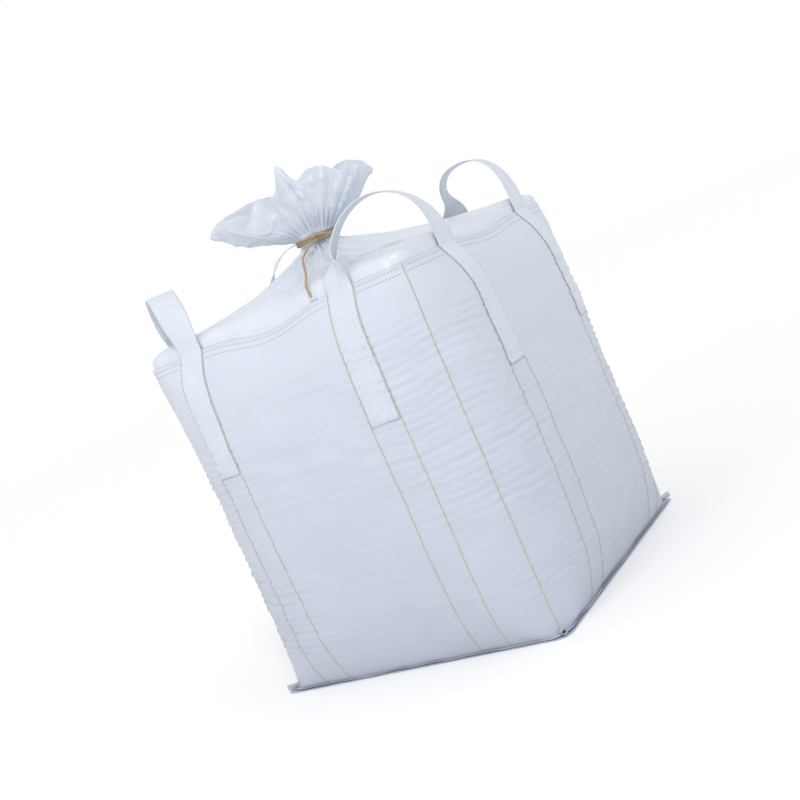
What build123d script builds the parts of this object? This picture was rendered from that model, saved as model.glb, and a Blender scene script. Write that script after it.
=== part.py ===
from build123d import *
import os
from functools import lru_cache
from math import cos, pi, radians, sin, sqrt

# Bulk bag: a woven tube that stands on a sewn square base, four webbing lift loops that cross its corners,
# and a thin closing skirt gathered over the fill and tied at its neck, with its free end blooming above the tie.
# Millimetres, +Z up, origin on the floor at the middle of the base. The front wall faces -Y.

# ---- driving dimensions ----
TUBE_GIRTH = 3600.0  # once round the woven tube where it is sewn, at its foot and its rim
RIM_HEIGHT = 1020.0  # floor to the tube's top edge
BELLY_RADIUS = 300.0  # corner radius at mid height, where the fill rounds the tube
BELLY_FULLNESS = 0.025  # how much longer the girth is at mid height, as a share
END_RADIUS = 55.0  # corner radius at the base seam and at the rim
BELLY_POWER = 5.0  # how late the tube turns from its belly's shape to that of its ends

FABRIC = 1.6  # coated woven fabric, with its yarn crimp
SKIRT_FABRIC = 1.2  # thin fabric of the closing skirt, measured across
SKIRT_DROP = 1.6  # the same fabric, measured down, where the skirt lies flat
WEBBING = 3.0  # thickness of the lift webbing
WEBBING_WIDTH = 80.0
THREAD = 0.8  # how far a sewn or woven-in thread stands out
THREAD_WIDTH = 2.6
SEWN_GAP = 0.25  # clearance between layers that are sewn together
LYING_GAP = 0.1  # clearance between the flat layers of the base seam

BASE_MARGIN = 16.0  # how far the base seam sticks out past the wall's foot
BASE_SEAM_REACH = 5.0  # how far the seam's hem runs in under the wall's foot
BASE_STITCH_INSET = 6.0  # from the seam's outer edge to its stitching
EAR_RADIUS = 9.0  # the rolled ear of seam fabric at each base corner
EAR_LENGTH = 24.0
EAR_OVERHANG = 3.0  # how far an ear reaches past the hem's corner

RIM_HEM_DEPTH = 36.0  # the rim's fold, inside the tube
RIM_STITCH_DEPTHS = (10.0, 24.0)  # below the rim

LEG_LENGTH = 350.0  # sewn length of each webbing leg, below the rim
LEG_RISE = 30.0  # the leg's upright end above the rim
HINGE_RISE = 60.0  # the line that a loop flops about, above the rim
ARCH_LIFT = 2.0  # the loop's lower ends, above that line
ARCH_POWER = 2.3  # 2 is an ellipse, and more is squarer
ARCH_SECTIONS = 17
LEG_STITCH_INSET = 9.0  # from the webbing's edge to a row of stitches
LEG_BAR_INSET = 14.0  # from the leg's lower end to its cross row
MARKER_CLEARANCE = 2.0  # between the webbing's edge and a coloured warp yarn

SHOULDER_RISE = 85.0  # what the fill lifts the skirt by, steep at the rim
SHOULDER_POWER = 0.25
TENT_RISE = 65.0  # what the tie lifts it by, steep at the neck
TENT_POWER = 2.5
SKIRT_SHARES = (0.985, 0.95, 0.88, 0.76, 0.6, 0.42, 0.25, 0.12, 0.0)
NECK_RADIUS = 60.0
NECK_HEIGHT = 26.0
NECK_ROUNDNESS = 0.97  # 1 is a circle
ROUNDING_POWER = 0.7  # how early the skirt turns from square to round on its way in
NECK_SHIFT = 40.0  # the neck is pulled this far sideways from the middle
BLOOM_ANGLE = 33.0  # the way the bloom spreads, seen from above, from +X

CORD = 6.0  # diameter of the tie cord
CORD_TURNS = 2
KNOT_RADIUS = 8.5
PATCH_SIDE = 26.0  # the stitched patch that holds the cord's end to the skirt
PATCH_THICKNESS = 1.2
PATCH_STANDOFF = 1.0  # above the rim

# name: (corner number, counted from the front right, then anticlockwise from above;
#        from the corner to the leg on the wall before it, and on the wall after it;
#        the arch's height above the rim; how far the arch leans along its own line)
LOOPS = {
    "front_right": (0, 190.0, 225.0, 195.0, 38.0),
    "back_right": (1, 170.0, 270.0, 215.0, 10.0),
    "back_left": (2, 200.0, 200.0, 195.0, 0.0),
    "front_left": (3, 170.0, 176.0, 190.0, -12.0),
}
WALLS = ("front", "right", "back", "left")

BLOOM_ROUNDNESS = 0.92  # the bloom's ends, 1 for half circles

# The bloom, bottom to top: (height above its foot, spread, depth, how far its middle moves along the spread).
BLOOM_SECTIONS = (
    (0.0, 80.0, 76.0, 0.0),
    (20.0, 170.0, 116.0, -10.0),
    (62.0, 360.0, 160.0, -38.0),
    (108.0, 508.0, 196.0, -50.0),
    (158.0, 470.0, 190.0, -42.0),
    (210.0, 230.0, 120.0, -25.0),
)
BLOOM_GAP = 16.0  # between the neck and the bloom, for the bloom's tilt

# The tie cord's loose run, from the patch at the rim up the skirt's front to the knot at the neck: (how far out
# from the neck towards the rim, aside from the middle, both as shares of the skirt there; above the skirt).
CORD_ROUTE = (
    (1.016, 0.367, 12.0),
    (1.013, 0.363, 36.0),
    (0.928, 0.355, 4.9),
    (0.798, 0.346, 4.3),
    (0.638, 0.319, 6.0),
    (0.474, 0.260, 5.5),
    (0.317, 0.166, 4.1),
    (0.189, 0.068, 4.4),
    (0.099, 0.133, 7.1),
    (0.022, 0.507, 13.0),
)
# Its short end, away from the knot: (degrees round the neck from its front, out from the neck, above its middle).
CORD_END_ROUTE = (
    (5.7, 18.4, 1.0),
    (13.6, 23.3, 3.0),
    (22.5, 26.8, 0.0),
    (30.8, 28.7, -6.0),
)

# ---- what follows from them ----
BASE_HALF = TUBE_GIRTH / 8  # half the side of the square that the tube would make with sharp corners
WALL_FOOT = 2 * (FABRIC + LYING_GAP)  # on the base panel and the seam's hem
LEG_TOP = RIM_HEIGHT + LEG_RISE
HINGE_HEIGHT = RIM_HEIGHT + HINGE_RISE
NECK_FOOT = RIM_HEIGHT + SHOULDER_RISE + TENT_RISE
NECK_TOP = NECK_FOOT + NECK_HEIGHT
BLOOM_FOOT = NECK_TOP + BLOOM_GAP
SPREAD = Vector(cos(radians(BLOOM_ANGLE)), sin(radians(BLOOM_ANGLE)), 0)
TOWARDS_FRONT = Vector(sin(radians(BLOOM_ANGLE)), -cos(radians(BLOOM_ANGLE)), 0)
NECK_CENTRE = SPREAD * -NECK_SHIFT
LEVEL_SHARES = (0.0, 0.012, 0.035, 0.08, 0.15, 0.28, 0.5, 0.7, 0.83, 0.91, 0.96, 1.0)
CUT_MARGIN = 2.0  # how far a cutting solid runs past what it cuts
WEB_OFFSET = SEWN_GAP  # from the wall to the webbing
LEG_FACE = SEWN_GAP + WEBBING  # from the wall to the webbing's outer face
SKIRT_OFFSET = -(FABRIC + SEWN_GAP + FABRIC + SEWN_GAP)  # from the wall to the skirt's foot, inside the hem


def belly_share(height):
    """0 at the tube's foot and rim, and 1 between them, where the fill rounds it."""
    share = min(max(height / RIM_HEIGHT, 0.0), 1.0)
    return 1 - abs(2 * share - 1) ** BELLY_POWER


def corner_radius(height):
    return END_RADIUS + (BELLY_RADIUS - END_RADIUS) * belly_share(height)


def half_width(height):
    """Half the tube's width. Of two sections with the same girth, the rounder one is wider."""
    fullness = 1 + BELLY_FULLNESS * belly_share(height)
    return BASE_HALF * fullness + corner_radius(height) * (1 - pi / 4)


def rounded_square(half, radius, height, centre=(0, 0)):
    return Pos(centre[0], centre[1], height) * RectangleRounded(2 * half, 2 * half, radius)


@lru_cache(maxsize=None)
def tube(offset, low, high):
    """The filled tube, grown sideways by offset. Layers cut from such solids lie parallel to the wall."""
    heights = [WALL_FOOT + share * (RIM_HEIGHT - WALL_FOOT) for share in LEVEL_SHARES]
    heights = [low] * (low < WALL_FOOT) + heights + [high] * (high > RIM_HEIGHT)
    sections = []
    for height in heights:
        sections.append(rounded_square(half_width(height) + offset, corner_radius(height) + offset, height))
    return loft(sections, ruled=True)


def layer(region, inner, outer):
    """The part of a region that lies between two offsets from the tube's outer face."""
    outside = tube(outer, WALL_FOOT, LEG_TOP)
    inside = tube(inner, WALL_FOOT - CUT_MARGIN, LEG_TOP + CUT_MARGIN)
    return (outside & region) - inside


def upright_strip(wall, along, width, low, high):
    """A box across a wall, along millimetres from its middle. Wall 0 is the front, and they go anticlockwise."""
    reach = half_width(RIM_HEIGHT / 2) + WEBBING_WIDTH
    inward = BASE_HALF / 2
    box = Pos(along, -(reach + inward) / 2, (low + high) / 2) * Box(width, reach - inward, high - low)
    return Rot(0, 0, 90 * wall) * box


def level_band(low, high):
    side = 4 * BASE_HALF
    return Pos(0, 0, (low + high) / 2) * Box(side, side, high - low)


def loop_legs(name):
    """((wall number, place along that wall), ...) for a loop's two legs."""
    corner, before, after, _, _ = LOOPS[name]
    return ((corner, BASE_HALF - before), ((corner + 1) % 4, after - BASE_HALF))


# ---- tube, base and rim ----
def make_body_tube():
    outside = tube(0.0, WALL_FOOT, RIM_HEIGHT)
    return outside - tube(-FABRIC, WALL_FOOT - CUT_MARGIN, RIM_HEIGHT + CUT_MARGIN)


def seam_half():
    return half_width(0) + BASE_MARGIN


def seam_corner():
    return END_RADIUS - BASE_MARGIN


def make_base_panel():
    return extrude(rounded_square(seam_half(), seam_corner(), 0), FABRIC)


def make_base_hem():
    """The tube's foot, turned out flat on the base panel's edge."""
    low = FABRIC + LYING_GAP
    inner_half = half_width(0) - BASE_SEAM_REACH
    outline = rounded_square(seam_half(), seam_corner(), low)
    hole = rounded_square(inner_half, END_RADIUS - BASE_SEAM_REACH, low)
    return extrude(outline - hole, FABRIC)


def make_base_stitching():
    middle = seam_half() - BASE_STITCH_INSET
    corner = seam_corner() - BASE_STITCH_INSET
    outline = rounded_square(middle + THREAD_WIDTH / 2, corner + THREAD_WIDTH / 2, WALL_FOOT)
    hole = rounded_square(middle - THREAD_WIDTH / 2, corner - THREAD_WIDTH / 2, WALL_FOOT)
    return extrude(outline - hole, THREAD)


def make_corner_ears():
    """Four short rolls of seam fabric that lie on the base seam's corners, pointing out."""
    corner_reach = (seam_half() - seam_corner()) * sqrt(2) + seam_corner()
    far_end = corner_reach + EAR_OVERHANG
    height = WALL_FOOT + THREAD + LYING_GAP + EAR_RADIUS
    ear = Cylinder(EAR_RADIUS, EAR_LENGTH) - Cylinder(EAR_RADIUS - FABRIC, EAR_LENGTH)
    ear = Pos(far_end - EAR_LENGTH / 2, 0, height) * Rot(0, 90, 0) * ear
    return [Rot(0, 0, 45 + 90 * corner) * ear for corner in range(4)]


def make_rim_hem():
    outside = tube(-FABRIC - SEWN_GAP, WALL_FOOT, RIM_HEIGHT)
    inside = tube(-2 * FABRIC - SEWN_GAP, WALL_FOOT - CUT_MARGIN, RIM_HEIGHT + CUT_MARGIN)
    return (outside & level_band(RIM_HEIGHT - RIM_HEM_DEPTH, RIM_HEIGHT)) - inside


def make_rim_stitching():
    """Two rows round the rim, which stop at the marker yarns and at the webbing legs."""
    reserved = []
    for name in LOOPS:
        for wall, along in loop_legs(name):
            width = WEBBING_WIDTH + 2 * MARKER_CLEARANCE + 4 * THREAD_WIDTH
            reserved.append(upright_strip(wall, along, width, RIM_HEIGHT - LEG_LENGTH, LEG_TOP))
    reserved += [corner_strip(corner, 4 * THREAD_WIDTH) for corner in range(4)]
    rows = []
    for depth in RIM_STITCH_DEPTHS:
        low = RIM_HEIGHT - depth - THREAD_WIDTH / 2
        ring = layer(level_band(low, low + THREAD_WIDTH), SEWN_GAP, SEWN_GAP + THREAD)
        for box in reserved:
            ring -= box
        rows += ring.solids()
    return rows


def corner_strip(corner, width):
    """An upright box through a corner of the tube, square to its diagonal."""
    reach = 2 * BASE_HALF
    box = Pos(reach / 2, 0, (WALL_FOOT + RIM_HEIGHT) / 2) * Box(reach, width, RIM_HEIGHT - WALL_FOOT)
    return Rot(0, 0, 90 * corner - 45) * box


def make_marker_yarns(name):
    """Five coloured warp yarns at a corner: one on the corner, and one at each edge of each leg's band."""
    corner = LOOPS[name][0]
    yarns = [layer(corner_strip(corner, THREAD_WIDTH), SEWN_GAP, SEWN_GAP + THREAD)]
    to_yarn = WEBBING_WIDTH / 2 + MARKER_CLEARANCE + THREAD_WIDTH / 2
    for wall, along in loop_legs(name):
        for side in (-to_yarn, to_yarn):
            strip = upright_strip(wall, along + side, THREAD_WIDTH, WALL_FOOT, RIM_HEIGHT)
            yarns.append(layer(strip, SEWN_GAP, SEWN_GAP + THREAD))
    return [solid for yarn in yarns for solid in yarn.solids()]


# ---- lift loops ----
def make_loop_leg(wall, along):
    strip = upright_strip(wall, along, WEBBING_WIDTH, RIM_HEIGHT - LEG_LENGTH, LEG_TOP)
    return layer(strip, WEB_OFFSET, LEG_FACE)


def make_leg_stitching(name):
    """Two long rows and a cross row on each of a loop's legs."""
    low = RIM_HEIGHT - LEG_LENGTH + LEG_BAR_INSET
    high = RIM_HEIGHT - LEG_BAR_INSET
    row = WEBBING_WIDTH / 2 - LEG_STITCH_INSET
    threads = []
    for wall, along in loop_legs(name):
        strips = [upright_strip(wall, along + side, THREAD_WIDTH, low, high) for side in (-row, row)]
        strips.append(upright_strip(wall, along, 2 * row - 2 * THREAD_WIDTH, low, low + THREAD_WIDTH))
        threads += [layer(strip, LEG_FACE + SEWN_GAP, LEG_FACE + SEWN_GAP + THREAD) for strip in strips]
    return [solid for thread in threads for solid in thread.solids()]


def loop_feet(name):
    """Where the webbing's middle line crosses the hinge height, on the wall before the corner and after it."""
    corner, before, after, _, _ = LOOPS[name]
    out = half_width(RIM_HEIGHT) + SEWN_GAP + WEBBING / 2
    turn = Rot(0, 0, 90 * corner)
    first = turn * Pos(BASE_HALF - before, -out, HINGE_HEIGHT)
    second = turn * Pos(out, after - BASE_HALF, HINGE_HEIGHT)
    return first.position, second.position


def make_loop_arch(name):
    """The free part of a loop. Its width follows each wall at the feet and turns square to the arch at the top."""
    corner, _, _, height, lean = LOOPS[name]
    first, second = loop_feet(name)
    middle = (first + second) / 2
    half_span = (second - first).length / 2
    chord = (second - first).normalized()
    out = chord.cross(Vector(0, 0, 1))
    wall_before = (Rot(0, 0, 90 * corner) * Pos(1, 0, 0)).position
    wall_after = (Rot(0, 0, 90 * corner) * Pos(0, -1, 0)).position
    rise = height - HINGE_RISE - ARCH_LIFT

    def line(turn):
        across = -abs(cos(turn)) ** (2 / ARCH_POWER) * (1 if cos(turn) > 0 else -1)
        up = abs(sin(turn)) ** (2 / ARCH_POWER)
        place = middle + chord * (half_span * across + lean * up)
        return place + Vector(0, 0, ARCH_LIFT + rise * up), across

    sections = []
    small = 0.001
    for step in range(ARCH_SECTIONS):
        turn = pi * step / (ARCH_SECTIONS - 1)
        place, across = line(turn)
        tangent = (line(min(turn + small, pi))[0] - line(max(turn - small, 0))[0]).normalized()
        if step in (0, ARCH_SECTIONS - 1):
            tangent = Vector(0, 0, 1 if step == 0 else -1)
        wall_way = wall_before if across < 0 else wall_after
        blend = across * across
        width_way = out * (1 - blend) + wall_way * blend
        width_way = (width_way - tangent * width_way.dot(tangent)).normalized()
        plane = Plane(origin=place, x_dir=width_way, z_dir=tangent)
        sections.append(plane * Rectangle(WEBBING_WIDTH, WEBBING))
    return loft(sections, ruled=True)


# ---- closing skirt, neck and bloom ----
def skirt_height(share):
    """The skirt's height where its outline is that share of the way from the neck out to the rim."""
    lift = SHOULDER_RISE * (1 - share) ** SHOULDER_POWER
    return RIM_HEIGHT + lift + TENT_RISE * (1 - share) ** TENT_POWER


def skirt_dome(inset, drop):
    rim_radius = corner_radius(RIM_HEIGHT) + SKIRT_OFFSET
    rim_half = half_width(RIM_HEIGHT) + SKIRT_OFFSET
    foot = rounded_square(rim_half - inset, rim_radius - inset, RIM_HEIGHT)
    sections = [Pos(0, 0, -CUT_MARGIN) * foot, foot] if inset else [foot]
    for share in SKIRT_SHARES:
        half = NECK_RADIUS + (rim_half - NECK_RADIUS) * share
        roundness = NECK_ROUNDNESS + (rim_radius / rim_half - NECK_ROUNDNESS) * share**ROUNDING_POWER
        centre = NECK_CENTRE * (1 - share)
        radius = (half - inset) * roundness
        sections.append(rounded_square(half - inset, radius, skirt_height(share) - drop, (centre.X, centre.Y)))
    return loft(sections, ruled=True)


def make_skirt():
    """A foot sewn inside the rim's hem, and the dome that rises from it to the neck."""
    foot_band = level_band(RIM_HEIGHT - RIM_HEM_DEPTH, RIM_HEIGHT)
    inside = tube(SKIRT_OFFSET - SKIRT_FABRIC, WALL_FOOT - CUT_MARGIN, RIM_HEIGHT + CUT_MARGIN)
    foot = (tube(SKIRT_OFFSET, WALL_FOOT, RIM_HEIGHT) & foot_band) - inside
    return foot + (skirt_dome(0.0, 0.0) - skirt_dome(SKIRT_FABRIC, SKIRT_DROP))


def make_neck():
    low = NECK_FOOT + SEWN_GAP
    middle = Pos(NECK_CENTRE.X, NECK_CENTRE.Y, (low + NECK_TOP) / 2)
    return middle * Cylinder(NECK_RADIUS, NECK_TOP - low)


def bloom_section(level, inset, lift):
    rise, spread, depth, move = level
    place = NECK_CENTRE + SPREAD * move
    turn = Pos(place.X, place.Y, BLOOM_FOOT + rise + lift) * Rot(0, 0, BLOOM_ANGLE)
    radius = BLOOM_ROUNDNESS * depth / 2 - inset
    return turn * RectangleRounded(spread - 2 * inset, depth - 2 * inset, radius)


def make_bloom():
    """The skirt's free end above the tie: a shell, open at the top."""
    outside = loft([bloom_section(level, 0.0, 0.0) for level in BLOOM_SECTIONS], ruled=True)
    first, *middle, last = BLOOM_SECTIONS
    cavity = [bloom_section(first, SKIRT_FABRIC, SKIRT_DROP)]
    cavity += [bloom_section(level, SKIRT_FABRIC, 0.0) for level in middle + [last]]
    cavity.append(bloom_section(last, SKIRT_FABRIC, CUT_MARGIN))
    return outside - loft(cavity, ruled=True)


# ---- tie cord ----
def over_skirt(share, aside, above):
    """A point over the front of the skirt."""
    rim_half = half_width(RIM_HEIGHT) + SKIRT_OFFSET
    half = NECK_RADIUS + (rim_half - NECK_RADIUS) * share
    centre = NECK_CENTRE * (1 - share)
    return Vector(centre.X + aside * half, centre.Y - half, skirt_height(min(share, 1.0)) + above)


def by_neck(turn, out, above):
    """A point beside the neck."""
    angle = radians(BLOOM_ANGLE - 90 + turn)
    reach = NECK_RADIUS + out
    middle = (NECK_FOOT + NECK_TOP) / 2
    return NECK_CENTRE + Vector(reach * cos(angle), reach * sin(angle), middle + above)


def arc_radii(route):
    """One radius for each corner: 0.45 of the shorter run, divided by the tangent of half the turn."""
    radii = []
    for before, here, after in zip(route, route[1:], route[2:]):
        turn = radians((here - before).get_angle(after - here))
        shorter = min((here - before).length, (after - here).length)
        radii.append(0.45 * shorter * cos(turn / 2) / sin(turn / 2))
    return radii


def cord_tube(route):
    path = FilletPolyline(*route, radius=arc_radii(route))
    section = Plane(origin=path @ 0, z_dir=path % 0) * Circle(CORD / 2)
    solid = sweep(section, path)
    print("cord run", round(path.length, 1), "least radius", round(min(arc_radii(route)), 1),
          "volume share", round(solid.volume / (path.length * pi * CORD**2 / 4), 4))
    return solid


def make_cord_wraps():
    """The outer shape of the turns round the neck."""
    height = CORD * CORD_TURNS
    inner = NECK_RADIUS + SEWN_GAP
    ring = Cylinder(inner + CORD, height) - Cylinder(inner, height)
    return Pos(NECK_CENTRE.X, NECK_CENTRE.Y, (NECK_FOOT + NECK_TOP) / 2) * ring


def make_cord_knot():
    """A ball where the loose run and the short end leave the turns, clear of both."""
    out = NECK_RADIUS + SEWN_GAP + CORD + LYING_GAP + KNOT_RADIUS
    centre = NECK_CENTRE + TOWARDS_FRONT * out
    return Pos(centre.X, centre.Y, (NECK_FOOT + NECK_TOP) / 2) * Sphere(KNOT_RADIUS)


def make_anchor_patch():
    """A small square patch on the skirt's steep rise, just above the rim."""
    face = half_width(RIM_HEIGHT) + SKIRT_OFFSET + SEWN_GAP
    low = RIM_HEIGHT + PATCH_STANDOFF
    aside = over_skirt(*CORD_ROUTE[0]).X
    middle = Pos(aside, -face - PATCH_THICKNESS / 2, low + PATCH_SIDE / 2)
    return middle * Box(PATCH_SIDE, PATCH_THICKNESS, PATCH_SIDE)


# ---- write every piece ----
def write(node, pieces):
    solids = pieces if isinstance(pieces, list) else pieces.solids()
    shape = solids[0] if len(solids) == 1 else Compound(children=[Solid(s.wrapped) for s in solids])
    export_step(shape, f"parts/{node}.step")


os.makedirs("parts", exist_ok=True)
write("body_tube", make_body_tube())
write("base_panel", make_base_panel())
write("base_seam_hem", make_base_hem())
write("base_seam_stitching", make_base_stitching())
write("base_corner_ears", make_corner_ears())
write("rim_hem", make_rim_hem())
write("rim_stitching", make_rim_stitching())
write("closing_skirt", make_skirt())
write("skirt_neck", make_neck())
write("skirt_bloom", make_bloom())
write("tie_cord_wraps", make_cord_wraps())
write("tie_cord_knot", make_cord_knot())
write("tie_cord_run", cord_tube([over_skirt(*place) for place in CORD_ROUTE]))
write("tie_cord_short_end", cord_tube([by_neck(*place) for place in CORD_END_ROUTE]))
write("tie_anchor_patch", make_anchor_patch())
for loop in LOOPS:
    write(f"marker_yarns_{loop}", make_marker_yarns(loop))
    write(f"loop_{loop}_arch", make_loop_arch(loop))
    write(f"loop_{loop}_stitching", make_leg_stitching(loop))
    for leg_wall, leg_along in loop_legs(loop):
        write(f"loop_{loop}_leg_on_{WALLS[leg_wall]}", make_loop_leg(leg_wall, leg_along))
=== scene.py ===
# %% [markdown]
# # A filled bulk bag
# A bulk bag is a woven tube on a sewn square base, with four webbing lift loops and a thin skirt that is
# gathered over the fill and tied. Everything here is fabric, so almost every piece is a sheet. We start
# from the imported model, which fixes every size and every joint, and model the cloth round it, piece by
# piece.

# %% Load the frame
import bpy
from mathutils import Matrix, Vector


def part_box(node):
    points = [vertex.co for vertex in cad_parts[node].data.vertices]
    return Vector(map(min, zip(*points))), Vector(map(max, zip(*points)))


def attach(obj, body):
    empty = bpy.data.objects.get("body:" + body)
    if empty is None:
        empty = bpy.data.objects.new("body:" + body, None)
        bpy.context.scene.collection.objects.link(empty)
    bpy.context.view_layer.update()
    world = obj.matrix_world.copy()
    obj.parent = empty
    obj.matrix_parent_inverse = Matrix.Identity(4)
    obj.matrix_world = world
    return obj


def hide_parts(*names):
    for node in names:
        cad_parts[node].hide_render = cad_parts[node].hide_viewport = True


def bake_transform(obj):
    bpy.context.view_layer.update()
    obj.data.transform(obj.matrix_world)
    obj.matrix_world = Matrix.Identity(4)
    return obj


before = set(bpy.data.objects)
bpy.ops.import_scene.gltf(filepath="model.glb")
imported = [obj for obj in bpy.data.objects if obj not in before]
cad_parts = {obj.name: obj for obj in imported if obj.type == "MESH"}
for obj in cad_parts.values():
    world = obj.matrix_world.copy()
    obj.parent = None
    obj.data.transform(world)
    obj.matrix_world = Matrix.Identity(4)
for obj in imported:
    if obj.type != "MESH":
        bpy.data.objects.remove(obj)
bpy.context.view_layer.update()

from math import cos, pi, radians, sin, sqrt

import bmesh
import bpy
import numpy as np
from mathutils import Matrix, Vector

# %% [markdown]
# ## Sizes that the cloth shares
# The wall's outline is a square with rounded corners. The fill rounds the corners at mid height, and the
# base and the rim keep them square. The cloth's girth can hardly change, so the corner radius nearly
# gives the whole outline at a height, and a small share of extra width is all that the belly stretches.
# The wall's height and the neck's place are read from the frame, and the loops' legs are placed round
# the girth.

# %% Shared sizes
GIRTH = 3.6
SIDE = GIRTH / 4
FOOT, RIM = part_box("body_tube")[0].z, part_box("body_tube")[1].z
BELLY_RADIUS, END_RADIUS, BELLY_POWER = 0.300, 0.055, 5.0
BELLY_FULLNESS = 0.025
BLOOM_AZIMUTH = 33.0
SHOULDER_RISE, SHOULDER_POWER = 0.085, 0.25
TENT_RISE, TENT_POWER = 0.065, 2.5
SKIRT_INSET = 0.0037
neck_low, neck_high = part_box("skirt_neck")
NECK = (neck_low + neck_high) / 2
NECK_RADIUS = (neck_high.x - neck_low.x) / 2
NECK_FOOT, NECK_TOP = neck_low.z, neck_high.z
SPREAD = Vector((cos(radians(BLOOM_AZIMUTH)), sin(radians(BLOOM_AZIMUTH)), 0))
TO_FRONT = Vector((SPREAD.y, -SPREAD.x, 0))
# Where each loop's two legs are: metres round the girth from the front wall's middle, and the arch's
# height above the rim and its lean along its own line.
LOOPS = {
    "front_right": (0.45 - 0.190, 0.45 + 0.225, 0.188, 0.014),
    "back_right": (1.35 - 0.170, 1.35 + 0.270, 0.200, 0.010),
    "back_left": (2.25 - 0.200, 2.25 + 0.200, 0.195, 0.0),
    "front_left": (3.15 - 0.170, 3.15 + 0.176, 0.190, -0.012),
}
LEGS = {"front_right": ("front", "right"), "back_right": ("right", "back"),
        "back_left": ("back", "left"), "front_left": ("left", "front")}
WEBBING_WIDTH, WEBBING, LEG_LENGTH = 0.080, 0.003, 0.350
print("rim", round(RIM, 4), "neck", tuple(round(c, 4) for c in NECK), "radius", round(NECK_RADIUS, 4))

# %% [markdown]
# ## The camera
# The bag is seen from a little above its rim's level with the front wall on the left, and the camera is
# rolled, so that the bag leans to the left. An empty scene has no camera: one is added and turned by a
# matrix whose columns are the camera's right, its up, and the way back from what it looks at.

# %% Camera
AZIMUTH, ELEVATION, ROLL = radians(33.17), radians(6.12), radians(23.74)
DISTANCE, AIM_SIDE, AIM_HEIGHT = 3.55, -0.0082, 0.6468
SENSOR, LENS = 36.0, 53.49

right = Vector((cos(AZIMUTH), sin(AZIMUTH), 0))
back = Vector((sin(AZIMUTH) * cos(ELEVATION), -cos(AZIMUTH) * cos(ELEVATION), sin(ELEVATION)))
up = back.cross(right)
camera_right = right * cos(ROLL) - up * sin(ROLL)
camera_up = right * sin(ROLL) + up * cos(ROLL)
turn = Matrix((camera_right, camera_up, back)).transposed().to_4x4()
aim = right * AIM_SIDE + Vector((0, 0, AIM_HEIGHT))
bpy.ops.object.camera_add()
camera = bpy.context.object
camera.name = "camera"
camera.matrix_world = Matrix.Translation(aim + back * DISTANCE) @ turn
camera.data.sensor_width, camera.data.lens = SENSOR, LENS
camera.data.clip_end = 60
bpy.context.scene.camera = camera
bpy.context.scene.view_settings.view_transform = "Standard"
print("camera at", tuple(round(c, 3) for c in camera.location))

# %% [markdown]
# ## Small tools
# An operator acts on all that is selected, so each step starts by clearing the selection. `cloth` is the
# one that most pieces use: it adds a grid, and moves its points to where a function says. The grid
# brings a UV map with it, which is scaled to metres, so a weave has its real size whatever the sheet's
# shape.

# %% Tools for meshes
def clear_selection():
    bpy.ops.object.select_all(action="DESELECT")


def smooth(low, high, value):
    """0 below low, 1 above high, and an S between."""
    share = np.clip((value - low) / (high - low), 0, 1)
    return share * share * (3 - 2 * share)


def weld(piece, distance=1e-5):
    clear_selection()
    piece.select_set(True)
    bpy.context.view_layer.objects.active = piece
    bpy.ops.object.mode_set(mode="EDIT")
    bpy.ops.mesh.select_all(action="SELECT")
    bpy.ops.mesh.remove_doubles(threshold=distance)
    bpy.ops.object.mode_set(mode="OBJECT")


def finish_with(piece, kind, **settings):
    """Adds a modifier, sets it and applies it."""
    clear_selection()
    piece.select_set(True)
    bpy.context.view_layer.objects.active = piece
    modifier = piece.modifiers.new(kind.lower(), kind)
    for key, value in settings.items():
        setattr(modifier, key, value)
    bpy.ops.object.modifier_apply(modifier=modifier.name)


def cloth(name, columns, rows, place, size, closed=False, thickness=0.0):
    """A grid whose points go where place(across, along) says. Both are arrays that run from 0 to 1."""
    clear_selection()
    bpy.ops.mesh.primitive_grid_add(x_subdivisions=columns, y_subdivisions=rows, size=1.0)
    piece = bpy.context.object
    piece.name = name
    mesh = piece.data
    flat = np.empty(len(mesh.vertices) * 3)
    mesh.vertices.foreach_get("co", flat)
    flat = flat.reshape(-1, 3)
    order = np.lexsort((flat[:, 0].round(6), flat[:, 1].round(6)))
    shape = (rows + 1, columns + 1)
    across = (flat[order, 0] + 0.5).reshape(shape)
    along = (flat[order, 1] + 0.5).reshape(shape)
    placed = np.empty_like(flat)
    placed[order] = place(across, along).reshape(-1, 3)
    mesh.vertices.foreach_set("co", placed.ravel())
    layer = mesh.uv_layers.active.data
    uv = np.empty(len(layer) * 2)
    layer.foreach_get("uv", uv)
    layer.foreach_set("uv", (uv.reshape(-1, 2) * np.array(size)).ravel())
    if closed:
        weld(piece)
    if thickness:
        finish_with(piece, "SOLIDIFY", thickness=thickness, offset=0.0, use_even_offset=False)
    for polygon in mesh.polygons:
        polygon.use_smooth = True
    mesh.update()
    print(name, len(mesh.polygons), "faces")
    return piece


def normals_of(points):
    """The unit normals of a grid of points."""
    along, across = np.gradient(points, axis=0), np.gradient(points, axis=1)
    normal = np.cross(across, along)
    return normal / np.maximum(np.linalg.norm(normal, axis=2, keepdims=True), 1e-12)


# %% [markdown]
# ## Wrinkles without chance
# Real cloth is never regular. Blender's own noise is fine for one point at a time, but these sheets have
# tens of thousands of points, so the noise is worked out on whole arrays: a table of fixed random
# numbers is looked up and blended. `wrap` makes it meet itself after a whole turn, which a closed tube
# needs.

# %% Noise on arrays
TABLE = np.random.default_rng(7).uniform(-1, 1, (256, 256))


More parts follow.
